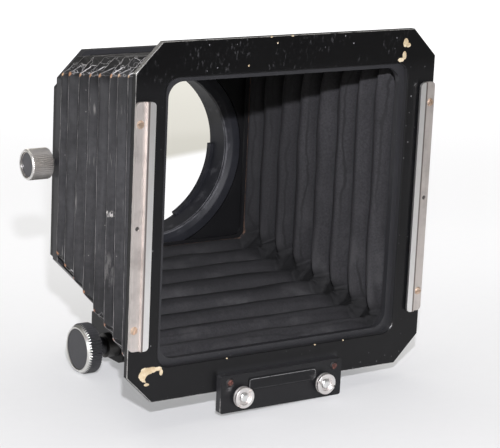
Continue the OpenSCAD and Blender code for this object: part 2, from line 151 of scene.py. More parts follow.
def feed(shader, **wires):
    """Links wires to the shader: colour, rough, metal and bump."""
    names = {"colour": "Base Color", "rough": "Roughness", "metal": "Metallic", "bump": "Normal"}
    for key, wire in wires.items():
        wire.tree.links.new(wire.socket, shader.inputs[names[key]])


def stretched(place, scale):
    """The place with each axis scaled, so that a pattern is drawn out along one of them."""
    return place.node("ShaderNodeMapping", {}, {"Vector": place, "Scale": scale})


def cloud(place, scale, detail=3.0, rough=0.55):
    """Soft noise from 0 to 1."""
    return place.node(
        "ShaderNodeTexNoise",
        {},
        {"Vector": place, "Scale": scale, "Detail": detail, "Roughness": rough},
    )


def specks(place, scale, size, share):
    """Small round dots: near a cell's centre, in the share of cells whose own shade is high."""
    gap, shade = place.node(
        "ShaderNodeTexVoronoi", {}, {"Vector": place, "Scale": scale}, ("Distance", "Color")
    )
    red = place.node("ShaderNodeSeparateColor", {}, {0: shade})
    return gap.step(size, size * 0.4) * red.step(1.0 - share, 1.0 - share * 0.8)


def raised(height, strength, depth):
    """A bump whose height of 1 stands depth metres proud."""
    return height.node(
        "ShaderNodeBump", {}, {"Strength": strength, "Distance": depth, "Height": height}
    )


def axes(place):
    """The x, y and z of a place, as three wires."""
    return place.node("ShaderNodeSeparateXYZ", {}, {0: place}, ("X", "Y", "Z"))


# %% [markdown]
# Most of the metalwork is painted a semi-gloss black that has rubbed through to bare metal
# on its edges. The paint takes optional patterns: one is 1 on the edges and is broken up by
# noise, one is 1 on chips, and one says where dust lies and where the paint is lightened as a
# painted fill light. Paint with that last pattern is also darker along its upper bar, a
# painted shade.


# %% Black paint
# Dust dots, dust with a painted fill light, the painted shade of the upper bar, bare metal and
# primer
DOT_GREY = (0.21, 0.21, 0.22)
DUST_AND_FILL_GREY = (0.03, 0.03, 0.032)
UPPER_BAR_SHADE = (0.0008, 0.0008, 0.001)
BARE_METAL = (0.5, 0.49, 0.47)
DARK_PRIMER, PALE_PRIMER = (0.36, 0.28, 0.17), (0.54, 0.46, 0.33)


def black_paint(name, shade=0.012, edge=None, chips=None, dust=0.5, dust_and_fill=None):
    """Semi-gloss black: smeared shine, dust dots, rubbed edges, chips down to a pale primer,
    and dust with a painted fill light where the optional pattern says. Paint with that
    pattern is also darker along its upper bar, a painted shade."""
    material, shader, place = new_finish(name, {"Specular IOR Level": 0.24})
    smear = cloud(place, 70.0, 5.0)
    fine = cloud(place, 900.0, 2.0)
    dots = specks(place, 300.0, 0.09, 0.35) * dust
    if dust_and_fill is not None:
        flat = stretched(place, (1.0, 0.12, 1.0))
        drift = cloud(place, 200.0, 2.0).step(0.25, 0.7)
        dots = dots.larger(specks(flat, 330.0, 0.09, 0.42) * drift * 0.7)
    x, _, z = axes(place)
    wiped = cloud(stretched(place, (1.0, 1.0, 0.45)), 1100.0, 4.0).step(0.54, 0.72)
    wiped = wiped * z.step(0.036, 0.045) * cloud(place, 110.0, 3.0).step(0.42, 0.62)
    dots = dots.larger(wiped * x.step(0.047, 0.038) * dust * 0.17)
    thin = (shade * 0.8, shade * 0.8, shade * 0.9)
    thick = (shade * 1.3, shade * 1.3, shade * 1.4)
    colour = smear.colour(thin, thick)
    if dust_and_fill is not None:
        # Painted shade: the upper bar is darker.
        colour = (z.step(0.037, 0.044) * 0.9).colour(colour, UPPER_BAR_SHADE)
        # Dust, and a painted fill light that lightens faces, where the pattern says.
        colour = dust_and_fill(place).colour(colour, DUST_AND_FILL_GREY)
    colour = dots.colour(colour, DOT_GREY)
    rough = 0.26 + 0.12 * smear + 0.08 * fine + 0.3 * dots
    bare_edges = {}
    if edge is not None:
        rubbed = (edge(place) * 1.5 + cloud(place, 260.0, 4.0) - 1.0).step(0.12, 0.5)
        colour = rubbed.colour(colour, BARE_METAL)
        bare_edges["metal"] = rubbed * 0.85
        rough = rough - 0.1 * rubbed
    if chips is not None:
        bare = chips(place)
        tint = cloud(place, 500.0, 3.0).step(0.3, 0.7)
        colour = bare.colour(colour, tint.colour(DARK_PRIMER, PALE_PRIMER))
        rough = rough + 0.2 * bare
    feed(shader, colour=colour, rough=rough, bump=raised(fine, 0.12, 0.00005), **bare_edges)
    return material


def dress(names, material):
    """Gives each named piece this finish."""
    for name in names:
        slots = pieces[name].data.materials
        slots.clear()
        slots.append(material)


# %% [markdown]
# A new piece is a grid of points worked out with numpy. Its faces join neighbours in the
# grid, the grid may close on itself in one or both directions, and the end rows may be
# closed by one face each. A piece whose faces point inwards has a negative volume, so the
# helper measures the volume and turns the faces if it has to.


# %% From a grid of points to a piece
def add_object(name, data):
    """An object in the scene that shows this data."""
    made = bpy.data.objects.new(name, data)
    bpy.context.scene.collection.objects.link(made)
    return made


def quads_between(index):
    """The four corners of every square between neighbours in a grid of point numbers."""
    corners = index[:-1, :-1], index[:-1, 1:], index[1:, 1:], index[1:, :-1]
    return np.stack(corners, -1).reshape(-1, 4)


def piece_from_grid(name, grid, body, wrap_rows=False, caps=False, marks=None, sharp=32.0):
    """Faces between neighbouring points; the columns always close on themselves."""
    rows, columns = grid.shape[:2]
    index = np.arange(rows * columns).reshape(rows, columns)
    index = np.hstack([index, index[:, :1]])
    if wrap_rows:
        index = np.vstack([index, index[:1]])
    quads = quads_between(index)
    points = grid.reshape(-1, 3)
    a, b, c, d = (points[quads[:, k]] for k in range(4))
    volume = (np.cross(a, b) * c).sum() + (np.cross(a, c) * d).sum()
    ends = [index[0, :-1][::-1], index[-1, :-1]] if caps else []
    for end in ends:
        p = points[end]
        volume += (np.cross(p[:1], p[1:-1]) * p[2:]).sum()
    faces = [*quads.tolist(), *(e.tolist() for e in ends)]
    if volume < 0:
        faces = [face[::-1] for face in faces]
    mesh = bpy.data.meshes.new(name)
    mesh.from_pydata(points.tolist(), [], faces)
    for key, values in (marks or {}).items():
        stored = mesh.attributes.new(key, "FLOAT", "POINT")
        stored.data.foreach_set("value", np.ascontiguousarray(values, np.float32).ravel())
    mesh.shade_smooth()
    mesh.set_sharp_from_angle(angle=math.radians(sharp))
    pieces[name] = piece = add_object(name, mesh)
    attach(piece, body)
    print(name, "faces:", len(faces), "volume mm3:", round(abs(volume) / 6 * 1e9, 1))
    return piece


# %% [markdown]
# The bellows is one sheet of leathercloth folded into ridges and valleys, with a matt
# lining. Each fold line is a ring of eight corner points. A smooth surface comes from
# blending the rings and the corners with hat functions whose tips are rounded: a point is
# a weighted mean of the nearest corners, and the rounding gives every fold a small radius.
# The rings are a little uneven, as hand-folded cloth is.


# %% The folds of the bellows
MM = 0.001
FRONT_Z = -2.7
FOLDS = 16
FOLD_DEPTH = 8.4
FRONT_HALF, REAR_WIDE, REAR_HIGH = 45.0, 34.7, 32.4
RIDGE_CUT, LOW_RIDGE_CUT, VALLEY_CUT = 5.5, 9.5, 1.4
front_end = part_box("bellows")[0].y / MM
rear_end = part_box("bellows")[1].y / MM


def fold_rings(inset):
    """Corners of every fold line in mm: half width, top and bottom shrink to the rear."""
    i = np.arange(-1, FOLDS + 2)
    ridge = i % 2
    t = i / FOLDS
    out = ridge * (FOLD_DEPTH - 1.2 * t) - inset
    flat = out - ridge * 3.2
    half = FRONT_HALF + (REAR_WIDE - FRONT_HALF) * t + out
    high, deep = FRONT_Z + FRONT_HALF, FRONT_Z - FRONT_HALF
    top = high + (REAR_HIGH - high) * t + flat
    low = deep - (REAR_HIGH + deep) * t - flat
    cut_top = np.where(ridge == 1, RIDGE_CUT, VALLEY_CUT)
    cut_low = np.where(ridge == 1, LOW_RIDGE_CUT - 1.2 * (t < 0.5), VALLEY_CUT)
    y = front_end + (rear_end - front_end) * t
    over, under = half - cut_top, half - cut_low
    beside, above = top - cut_top, low + cut_low
    x = np.stack([half, half, over, -over, -half, -half, -under, under], 1)
    z = np.stack([above, beside, top, top, beside, above, low, low], 1)
    return np.stack([x, y[:, None] + shift, z], 2)


chance = np.random.default_rng(11)
upper_shift = np.array([
    0, 0.3, 1.0, 0.5, -0.2, -0.6, -1.0, -0.9, -0.75,
    -0.5, -0.2, 0.3, 0.8, 1.0, 1.1, -0.4, 0,
])
lower_shift = np.array([
    0, -0.5, -0.8, -0.9, -0.95, -1.0, -1.0, -0.5, 0,
    0.5, 1.0, 1.2, 1.5, 1.5, 1.2, 0.4, 0,
])
shift = chance.uniform(-0.5, 0.5, (FOLDS + 3, 8))
shift[1:-1, [3, 4]] += 0.8 * upper_shift[:, None]
shift[1:-1, [5, 6]] += 0.8 * lower_shift[:, None]
shift[1:-1, [1, 2]] += 0.5 * upper_shift[:, None]
shift[1:-1, [7, 0]] += 0.5 * lower_shift[:, None]
shift[[0, 1, -2, -1]] = 0.0
print("fold lines:", FOLDS + 1, "uneven by up to mm:", np.abs(shift).max().round(2))

# %% [markdown]
# The same rounded hat is used along the bellows and around it. Sample points crowd
# together next to the fold lines, where the surface bends, and are sparse on the flat
# panels between them.


# %% The cloth of the bellows
def rounded_hats(places, count, radius, closed):
    """Weights of count rings at each place: a hat of height 1 with a parabola at its tip."""
    gap = places[:, None] - np.arange(count)[None, :]
    if closed:
        gap = (gap + count / 2) % count - count / 2
    gap = np.abs(gap)
    tip = np.clip(radius - gap, 0, None) ** 2 / (2 * radius)
    foot = np.clip(radius - np.abs(gap - 1), 0, None) ** 2 / (4 * radius)
    return np.clip(1 - gap, 0, None) - tip + foot


def crowded(segments, samples):
    """Places from 0 to segments that crowd at whole numbers, by half a cosine each."""
    ease = [0.5 - 0.5 * np.cos(np.pi * np.arange(n) / n) for n in samples]
    return np.concatenate([k + e for k, e in zip(range(segments), ease)])


along = np.append(crowded(FOLDS, [10] * FOLDS), FOLDS)
around = crowded(8, [24, 12] * 4)
hats_round = rounded_hats(around, 8, 0.04, True)
corner_gap = np.abs((around - 0.5) % 2 - 1.0)


def cloth_grid(inset, radius, swell):
    """Rings times hats along the bellows, times hats around it. The lining swells: across
    the pleat it follows the distance from the inner fold to the power swell."""
    rings = fold_rings(inset)
    inner = 2 * np.round(along / 2)
    near = along - inner
    plain = rounded_hats(along + 1, FOLDS + 3, radius, False)
    levels = np.linspace(0.0, 1.0, 7)
    grids = []
    for level in levels:
        power = 1 + (swell - 1) * level
        bowed = inner + np.sign(near) * np.abs(near) ** power
        hats_along = rounded_hats(bowed + 1, FOLDS + 3, radius, False)
        grids.append(np.einsum("rk,kcx,sc->rsx", hats_along, rings, hats_round))
    side = np.einsum("rk,kc,sc->rs", plain, rings[:, :, 1], hats_round)
    full = np.clip(corner_gap - 0.5, 0, 0.14) / 0.14 * (len(levels) - 1)
    lower = np.minimum(full.astype(int), len(levels) - 2)
    part = (full - lower)[None, :, None]
    stack = np.stack(grids)
    columns = np.arange(len(around))
    low_grid = np.moveaxis(stack[lower, :, columns], 0, 1)
    high_grid = np.moveaxis(stack[lower + 1, :, columns], 0, 1)
    grid = low_grid * (1 - part) + high_grid * part
    grid[:, :, 1] = side
    return grid


def ripples(rows, columns, count, seed):
    """A sum of sine waves of many directions, from about -1 to 1: soft unevenness."""
    waves = np.random.default_rng(seed)
    total = np.zeros((len(rows), len(columns)))
    for _ in range(count):
        a = waves.uniform(0.4, 2.6)
        b = waves.integers(3, 28)
        slope = a * rows[:, None] + b * columns[None, :] * np.pi / 4
        total += np.sin(slope + waves.uniform(0, 6.3))
    return total / np.sqrt(count)


outer_skin = cloth_grid(0.0, 0.05, 1.0)
lining_skin = cloth_grid(1.5, 0.07, 1.9)
at_corner = np.clip(1.0 - corner_gap / 0.62, 0, 1) ** 0.7
free = np.clip(np.minimum(along, FOLDS - along) * 1.5, 0, 1)[:, None]
from_diagonal = np.where(corner_gap < 0.5, 2 * corner_gap, 1 + 76 * (corner_gap - 0.5))
bend = np.clip(1 - from_diagonal / 9.0, 0, 1)
quarter = np.round((around - 1.5) / 2).astype(int) % 4
diagonal = np.array([(0.9, 0, 0.4), (-0.9, 0, 0.4), (-1.0, 0, -0.08), (1.0, 0, -0.08)])
pleat = np.round(along / 2).astype(int)
strength = chance.uniform(0.7, 1.2, (FOLDS // 2 + 1, 4)) * [4.0, 4.0, 2.9, 2.9]
strength = strength[pleat][:, quarter]
curve = 1 - np.sqrt(1 - bend**2)
tuck = strength * curve[None, :] * (1 - np.abs(along - 2 * pleat))[:, None] * free
pull = tuck[:, :, None] * diagonal[quarter]
outer_skin += pull
lining_skin += pull
lining_skin[:, :, 2] -= 0.3 * tuck * (quarter >= 2)[None, :]
inward = np.array([0.0, 0.0, -1.3]) - lining_skin
inward[:, :, 1] = 0.0
inward /= np.linalg.norm(inward, axis=2, keepdims=True)
soft = np.clip(0.2 * ripples(along * 0.8, around, 14, 3) + 0.15, 0, None)
crumple = at_corner[None, :] * (0.35 * np.abs(ripples(along * 2.2, around * 2.0, 10, 5)))
lining_skin += inward * ((soft + crumple) * free)[:, :, None]
sway = 0.2 + 0.35 * at_corner[None, :]
lining_skin[:, :, 1] += sway * ripples(along * 0.7, around, 12, 8) * free
outer_skin[:, :, 1] += 0.15 * ripples(along, around * 1.5, 12, 9) * free
print("pleat swell of the lining, mm:", np.ptp(lining_skin[:, 5, 0]).round(2))

# %% [markdown]
# Wear and painted shade follow the folds, so the piece carries marks that a finish can read:
# how far a point is from the nearest ridge, how far from the nearest ridge corner in mm,
# where the small crease runs across each corner facet, and which points belong to the lining.

# %% Marks on the cloth, and the piece itself
ridge_gap = np.abs((along % 2) - 1.0)
piece_of_corner = around.astype(int)
on_facet = around - piece_of_corner
from_side = np.where(piece_of_corner % 4 == 1, on_facet, 1 - on_facet)
crease = from_side[None, :] - ridge_gap[:, None]
crease = np.where((piece_of_corner % 2 == 1)[None, :], crease, 1.0)
tips = fold_rings(0.0)[2:-1:2, [0, 1, 4, 5]].reshape(-1, 3)
tip_gap = np.full(outer_skin.shape[:2], 1e3)
for tip in tips:
    tip_gap = np.minimum(tip_gap, np.linalg.norm(outer_skin - tip, axis=2))


def both_sides(values):
    """The same mark for a point of the outside and for the lining point behind it."""
    values = np.broadcast_to(values, outer_skin.shape[:2])
    return np.concatenate([values, values[::-1]])


both = np.concatenate([outer_skin, lining_skin[::-1]]) * MM
marks = {
    "ridge_gap": both_sides(ridge_gap[:, None]),
    "at_corner": both_sides(at_corner[None, :]),
    "crease": both_sides(crease),
    "tuck": both_sides(tuck),
    "along": both_sides(along[:, None] / FOLDS),
    "tip_gap": both_sides(tip_gap),
    "lining": np.repeat(np.repeat([0.0, 1.0], len(along))[:, None], len(around), 1),
}
bellows_cloth = piece_from_grid(
    "bellows_cloth", both, "rear_standard", wrap_rows=True, marks=marks, sharp=180.0
)
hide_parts("bellows")

# %% [markdown]
# Outside, the cloth has a fine leather grain, and the ridges are rubbed to a pale grey
# line that frays to orange brown at the corners. It is darker high up and low down, a painted
# shade. Inside it is a soft matt black, with painted shade in its folds, wrinkles and corner
# recesses and towards the rear, painted highlights on its lower crests, and painted shade and
# painted highlights on the two sides of each pleat of its floor. One material holds both,
# because the piece carries marks that say which side a point is on and how far it is from a
# ridge.


# %% Finish of the cloth
def mark(place, name):
    """A mark stored with the piece's points, as a wire."""
    return place.node("ShaderNodeAttribute", {"attribute_name": name}, {}, "Fac")


# Scuffs on the left side: y, z, half length and half height in mm
SCUFFS = [
    (-64.0, -4.1, 1.4, 1.1), (-49.0, 4.4, 1.2, 1.6),
    (-48.6, -0.8, 0.6, 1.5), (-63.0, -22.0, 2.4, 7.0),
]
# Colours of the outside, of the lining, of the painted shade and painted highlights on the
# cloth, and of what shows where the cloth is worn
SKIN_BLACK, SKIN_GREY = (0.003, 0.003, 0.0036), (0.036, 0.0352, 0.038)
SKIN_PAINTED_SHADE, FACET_BLACK = (0.002, 0.002, 0.0025), (0.0025, 0.0025, 0.003)
MATT_BLACK, MATT_GREY = (0.0112, 0.0108, 0.0124), (0.028, 0.0272, 0.03)
DRAWN_BLACK, FOLD_SHADE = (0.009, 0.0088, 0.01), (0.005, 0.005, 0.0055)
FLOOR_PLEAT_SHADE, WRINKLE_SHADE = (0.005, 0.005, 0.0056), (0.006, 0.006, 0.0066)
RECESS_SHADE, REAR_SHADE = (0.003, 0.003, 0.0034), (0.006, 0.006, 0.007)
LINING_DUST_AND_HIGHLIGHT, GLUE_BROWN = (0.075, 0.074, 0.076), (0.1, 0.055, 0.035)
WORN_GREY, SCUFF_GREY = (0.42, 0.41, 0.41), (0.42, 0.4, 0.38)
FRAY_DARK, FRAY_TAN, FRAY_RED = (0.26, 0.13, 0.07), (0.48, 0.33, 0.2), (0.55, 0.22, 0.12)


def cloth_lines(place, ridge, corner, patch):
    """Pale lines along the ridges, creases and cracks on the corner facets; and the facets."""
    wander = (patch - 0.5) * 0.03
    crease = mark(place, "crease")
    line = (ridge + wander).step(0.045 + 0.02 * corner, 0.012) * (0.34 + 0.45 * corner)
    thread = abs(crease + wander * 1.4).step(0.065, 0.015)
    crack = abs(cloud(place, 300.0, 2.0) - 0.5).step(0.016, 0.004) * 0.55
    facet = abs(crease).step(0.98, 0.95)
    worn = line.larger(thread.larger(crack) * facet)
    return worn * (0.3 + 0.7 * cloud(place, 150.0, 3.0).step(0.38, 0.6)), facet


def cloth_scuffs(place, x, y, z):
    """Upright scratches, specks and the scuffs on the left side."""
    scratch = cloud(stretched(place, (1.0, 1.0, 0.06)), 1500.0, 3.0).step(0.6, 0.74)
    rubbed = scratch * cloud(place, 90.0, 3.0).step(0.48, 0.66) * 0.3
    flecks = cloud(stretched(place, (1.0, 1.0, 0.3)), 1100.0, 3.0).step(0.46, 0.58)
    flecks = flecks * x.step(-0.038, -0.042)
    for cy, cz, ry, rz in SCUFFS:
        u = (y - cy * MM) * (1 / (ry * MM))
        v = (z - cz * MM) * (1 / (rz * MM))
        near = (u * u + v * v).step(1.2, 0.4) * min(1.0, (1.6 / rz) ** 1.4)
        rubbed = rubbed.larger(near * flecks)
    return rubbed.larger(specks(place, 420.0, 0.1, 0.3) * 0.3)


def cloth_skin(place, z, blotch, streak, facet):
    """The outside: mottled and streaked black, darker high up and low down as painted shade,
    and darker on the facets.
    """
    mottle = cloud(place, 520.0, 5.0, 0.65).step(0.3, 0.72)
    mixed = blotch * 0.3 + streak.step(0.3, 0.7) * 0.35 + mottle * 0.35
    skin = mixed.colour(SKIN_BLACK, SKIN_GREY)
    # Painted shade: darker high up and low down.
    skin = (abs(z + 0.003).step(0.012, 0.042) * 0.8).colour(skin, SKIN_PAINTED_SHADE)
    return (facet * 0.8).colour(skin, FACET_BLACK)


def cloth_lining(place, y, z, ridge, corner, patch, blotch, drawn):
    """The inside: woven matt black, dusty low down, with painted shade in its folds, wrinkles,
    corner recesses and towards the rear, painted highlights on the lower crests, and painted
    shade and painted highlights on the two sides of each floor pleat.
    """
    weave = cloud(place, 1500.0, 3.0, 0.7).step(0.3, 0.7)
    matt = (blotch * 0.3 + weave * 0.7).colour(MATT_BLACK, MATT_GREY)
    matt = (drawn * 0.4).colour(matt, DRAWN_BLACK)
    # Painted shade in the deep folds.
    matt = (ridge.step(0.45, 0.0) * 0.5).colour(matt, FOLD_SHADE)
    dusty = cloud(stretched(place, (0.5, 1.0, 0.5)), 130.0, 5.0, 0.65).step(0.48, 0.72)
    bands = cloud(stretched(place, (0.12, 1.0, 0.12)), 160.0, 3.0).step(0.35, 0.6)
    low = z.step(-0.015, -0.03)
    # Lighter crests low down are a painted highlight; dusty marks real dust.
    crest_highlight = ridge.step(0.5, 0.95) * bands * low * 0.25
    matt = (dusty * (0.1 + 0.2 * low)).larger(crest_highlight).colour(matt, LINING_DUST_AND_HIGHLIGHT)
    share = mark(place, "along")
    pleat = place.maths("FRACT", share * (FOLDS / 2) + 0.5)
    # Painted shade: the far part of each pleat of the floor is darker.
    on_floor = (z - 0.0153 * share).step(-0.0405, -0.0445)
    on_floor = on_floor * (0.4 + 0.6 * share.step(0.1, 0.5))
    matt = (pleat.step(0.1, 0.5) * on_floor * 0.7).colour(matt, FLOOR_PLEAT_SHADE)
    # Painted shade along wrinkle lines.
    wrinkle = pleat + (blotch - 0.5) * 0.4 + (patch - 0.5) * 0.04 - 0.28
    broken = cloud(stretched(place, (0.5, 2.0, 0.25)), 60.0, 2.0).step(0.4, 0.58)
    wrinkle = abs(wrinkle).step(0.035, 0.008) * broken * (1 - on_floor)
    matt = (wrinkle * 0.8).colour(matt, WRINKLE_SHADE)
    # Painted highlight on the near side of each floor pleat, stronger where dusty.
    rising_highlight = pleat.step(0.36, 0.08) * pleat.step(0.02, 0.08) * on_floor
    matt = (rising_highlight * (0.4 + 0.6 * dusty) * 0.42).colour(matt, LINING_DUST_AND_HIGHLIGHT)
    # Painted shade in the corner recesses and tucks.
    recess = corner.step(0.2, 0.48) * (0.6 + 0.4 * patch.step(0.25, 0.6)) * 0.92
    recess = recess.larger(mark(place, "tuck").step(0.3, 2.4) * 0.85)
    matt = recess.colour(matt, RECESS_SHADE)
    # Painted shade towards the rear of the tube.
    matt = (y.step(-0.055, -0.02) * 0.5).colour(matt, REAR_SHADE)
    glue = y.step(-0.0165, -0.0163) * patch.step(0.35, 0.6) * 0.7
    return glue.colour(matt, GLUE_BROWN)


def leathercloth():
    """Grained black outside with rubbed ridges and frayed corners, and a matt lining."""
    material, shader, place = new_finish("leathercloth", {"Specular IOR Level": 0.3})
    x, _, z = axes(place)
    y = (front_end + (rear_end - front_end) * mark(place, "along")) * MM
    ridge = mark(place, "ridge_gap")
    corner = mark(place, "at_corner")
    lining = mark(place, "lining").step(0.4, 0.6)
    outside = 1 - lining
    grain = cloud(place, 2400.0, 2.0, 0.6)
    patch = cloud(place, 420.0, 4.0, 0.6)
    blotch = cloud(place, 60.0, 4.0)
    streak = cloud(stretched(place, (1.0, 1.0, 0.05)), 520.0, 4.0)
    drawn = cloud(stretched(place, (0.05, 1.0, 0.05)), 600.0, 4.0).step(0.3, 0.7)
    worn, facet = cloth_lines(place, ridge, corner, patch)
    skin = cloth_skin(place, z, blotch, streak, facet)
    matt = cloth_lining(place, y, z, ridge, corner, patch, blotch, drawn)
    colour = (worn * outside).colour(lining.colour(skin, matt), WORN_GREY)
    lower = z.step(0.0, -0.02)
    torn = 0.55 - 0.12 * lower
    frayed = (mark(place, "tip_gap") + (patch - 0.5) * 2.0).step(torn + 0.5, torn - 0.1)
    fray = patch.step(0.4, 0.6).colour(FRAY_DARK, lower.colour(FRAY_TAN, FRAY_RED))
    colour = (frayed * outside).colour(colour, fray)
    rubbed = cloth_scuffs(place, x, y, z) * outside
    colour = (rubbed * 0.9).colour(colour, SCUFF_GREY)
    rough = 0.42 + 0.2 * streak + lining * 0.3 + 0.1 * facet * outside
    height = grain + blotch * 2.0 + streak * outside * 2.0 + drawn * lining * 2.5
    feed(shader, colour=colour, rough=rough, bump=raised(height, 0.35, 0.00012))
    return material


dress(["bellows_cloth"], leathercloth())
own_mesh(bellows_cloth)

# %% [markdown]
# The front plate is flat sheet metal with cut corners and a square hole. Both outlines are
# written as a distance from the centre at each angle: the plate's is the nearest of eight
# straight sides, and the hole's is a straight side or a corner arc. Joining the two, front
# and back, gives the plate, with a small bevel that catches the light.


# %% The front plate
PLATE_HALF, PLATE_CUT = 55.0, 8.9
HOLE_HALF, HOLE_ROUND = 44.4, 4.0
PLATE_FRONT, PLATE_BACK = -89.0, -87.0
PLATE_BEVEL = 0.22


def cut_square(turn, half, cut, inset):
    """Distance to a square with cut corners: the least of its eight sides over a cosine."""
    facing = np.arange(8) * np.pi / 4
    side = np.where(np.arange(8) % 2 == 0, half, (2 * half - cut) / math.sqrt(2)) - inset
    lean = np.cos(turn[:, None] - facing[None, :])
    return np.where(lean > 0.2, side / np.maximum(lean, 0.2), 1e9).min(1)


def round_square(turn, half, corner, outset):
    """Distance to a square with round corners: a straight side, or the corner's arc."""
    half, corner = half + outset, corner + outset
    c, s = np.abs(np.cos(turn)), np.abs(np.sin(turn))
    straight = half / np.maximum(c, s)
    m = half - corner
    along_m = m * (c + s)
    arc = along_m + np.sqrt(np.maximum(along_m**2 - 2 * m * m + corner**2, 0))
    return np.where(straight * np.minimum(c, s) > m, arc, straight)


def plate_grid():
    """Loops round the section of the plate, from its outer back edge to its inner one."""
    front, back, bevel = PLATE_FRONT, PLATE_BACK, PLATE_BEVEL
    tip = math.atan2(PLATE_HALF - PLATE_CUT, PLATE_HALF)
    tips = [q * math.pi / 2 + s * tip for q in range(4) for s in (-1, 1)]
    even = np.linspace(-np.pi, np.pi, 289)[:-1]
    turn = np.unique(np.concatenate([even, np.angle(np.exp(1j * np.array(tips)))]))
    outer = [(bevel, back), (0.0, back - bevel), (0.0, front + bevel), (bevel, front)]
    inner = [(bevel, front), (0.0, front + bevel), (0.0, back)]
    loops = [(cut_square(turn, PLATE_HALF, PLATE_CUT, inset), y) for inset, y in outer]
    loops += [(round_square(turn, HOLE_HALF, HOLE_ROUND, outset), y) for outset, y in inner]
    rows = [
        np.stack([r * np.cos(turn), np.full_like(turn, y), r * np.sin(turn) + FRONT_Z], 1)
        for r, y in loops
    ]
    return np.stack(rows) * MM


front_plate = piece_from_grid("front_plate", plate_grid(), "front_standard", wrap_rows=True)
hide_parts("front_frame")

# %% [markdown]
# The plate's paint is rubbed on its outer edge and has a few chips that show the pale
# primer: two near the upper right corner and a crescent near the lower left one. A chip is
# one or more ellipses whose outline is broken up by noise. The crescent is cut out of its
# chip by more ellipses, where paint is left.


# %% Wear of the front plate
def plate_edges(place):
    """1 on the front bevel of the outline and on the upper left cut, less at the hole."""
    x, y, z = axes(place)
    side, rise = abs(x), abs(z - FRONT_Z * MM)
    half, depth = PLATE_HALF * MM, y - PLATE_FRONT * MM
    cut = (2 * half - PLATE_CUT * MM - side - rise) * math.sqrt(0.5)
    outline = (half - side).smaller(half - rise).smaller(cut)
    front = depth.step(0.0004, 0.0001)
    bevel = outline.step(0.0004, 0.0001) * front * 0.62
    upper_left = cut.step(0.0003, 0.0) * x.step(0.0, -0.01) * z.step(0.0, 0.01) * 0.75
    hole = (side.larger(rise) - HOLE_HALF * MM).step(0.0003, 0.0) * front * 0.35
    return bevel.larger(upper_left).larger(hole)


# Chips on the front face: x, z, half width and half height in mm
CHIPS = [
    (42.8, 48.0, 1.0, 1.5), (43.7, 47.2, 1.1, 0.7), (42.5, 43.9, 0.8, 1.3),
    (41.2, 42.6, 1.3, 0.7), (-48.4, -48.6, 2.3, 2.3), (-46.3, -47.3, 2.0, 1.0),
    (-44.0, -47.2, 1.2, 0.6), (-43.0, -48.4, 0.6, 1.0), (-48.0, -51.7, 0.9, 0.5),
    (-16.1, 43.7, 0.25, 0.3), (-8.3, 52.1, 0.5, 0.25), (-0.6, 52.1, 0.6, 0.3),
    (-6.0, 50.1, 0.25, 0.25), (-19.4, -47.3, 0.3, 0.2), (13.8, -47.3, 0.35, 0.2),
    (24.9, -47.3, 0.3, 0.2),
]
# Paint left over the lower left chip, in the same form
LEFT_PAINT = [(-46.2, -50.0, 2.4, 1.7), (-44.6, -48.4, 0.7, 0.6)]


def ellipses(place, forms, torn):
    """The largest of the ellipses: each falls from 1 inside it to 0 outside, with noise."""
    x, _, z = axes(place)
    found = None
    for cx, cz, rx, rz in forms:
        u = (x - cx * MM) * (1 / (rx * MM))
        v = (z - cz * MM) * (1 / (rz * MM))
        chip = (u * u + v * v + torn).step(1.05, 0.9)
        found = chip if found is None else found.larger(chip)
    return found


def plate_chips(place):
    """Chips on the front face, less the paint that is left over one of them."""
    _, y, _ = axes(place)
    torn = (cloud(place, 620.0, 5.0, 0.65) - 0.5) * 1.5
    found = ellipses(place, CHIPS, torn) * (1 - ellipses(place, LEFT_PAINT, torn * 0.6))
    return found * (y - PLATE_FRONT * MM).step(0.0006, 0.0003)


def plate_dust_and_fill(place):
    """Dust, and a painted fill light against the bracket's dark reflection, in the corner above
    the bracket, fading in 2 mm; and a painted fill light on the walls of the hole.
    """
    x, y, z = axes(place)
    corner = z.step(-0.0498, -0.052) * abs(x).step(0.0232, 0.0222) * 0.5
    hole = abs(x).larger(abs(z - FRONT_Z * MM)).step(0.0455, 0.0447)
    return corner.larger(hole * (y - PLATE_FRONT * MM).step(0.00025, 0.0005) * 0.75)


plate_paint = black_paint(
    "plate_paint", 0.0042, plate_edges, plate_chips, dust=0.9, dust_and_fill=plate_dust_and_fill
)
dress(["front_plate"], plate_paint)

# %% [markdown]
# The knobs, the ring and the rods are turned on a lathe: a profile of radii carried round
# an axis. A knurled knob is the same with teeth, and where the maker has turned a bevel on
# it the smaller of the tooth and the cone is left, which gives the zigzag edge that a real
# bevelled knurl has.


# %% Turned pieces
def turned_grid(radii, stations, centre, axis, sides):
    """Each station's circle: radius times cosine and sine across the axis, at the station."""
    turn = np.arange(sides) * 2 * np.pi / sides
    if np.ndim(radii) == 1:
        radii = np.reshape(radii, (-1, 1))
    radii = np.broadcast_to(radii, (len(stations), sides))
    u, v = radii * np.cos(turn), radii * np.sin(turn)
    s = np.repeat(np.reshape(stations, (-1, 1)), sides, 1)
    x, y, z = centre
    if axis == "x":
        return np.stack([s, u + y, v + z], 2) * MM
    return np.stack([u + x, s, v + z], 2) * MM


def teeth(sides, count, depth, sharpness):
    """A tooth wave from 0 at the tips to depth in the grooves."""
    turn = np.arange(sides) / sides * count
    return depth * np.abs(2 * (turn % 1.0) - 1.0) ** sharpness


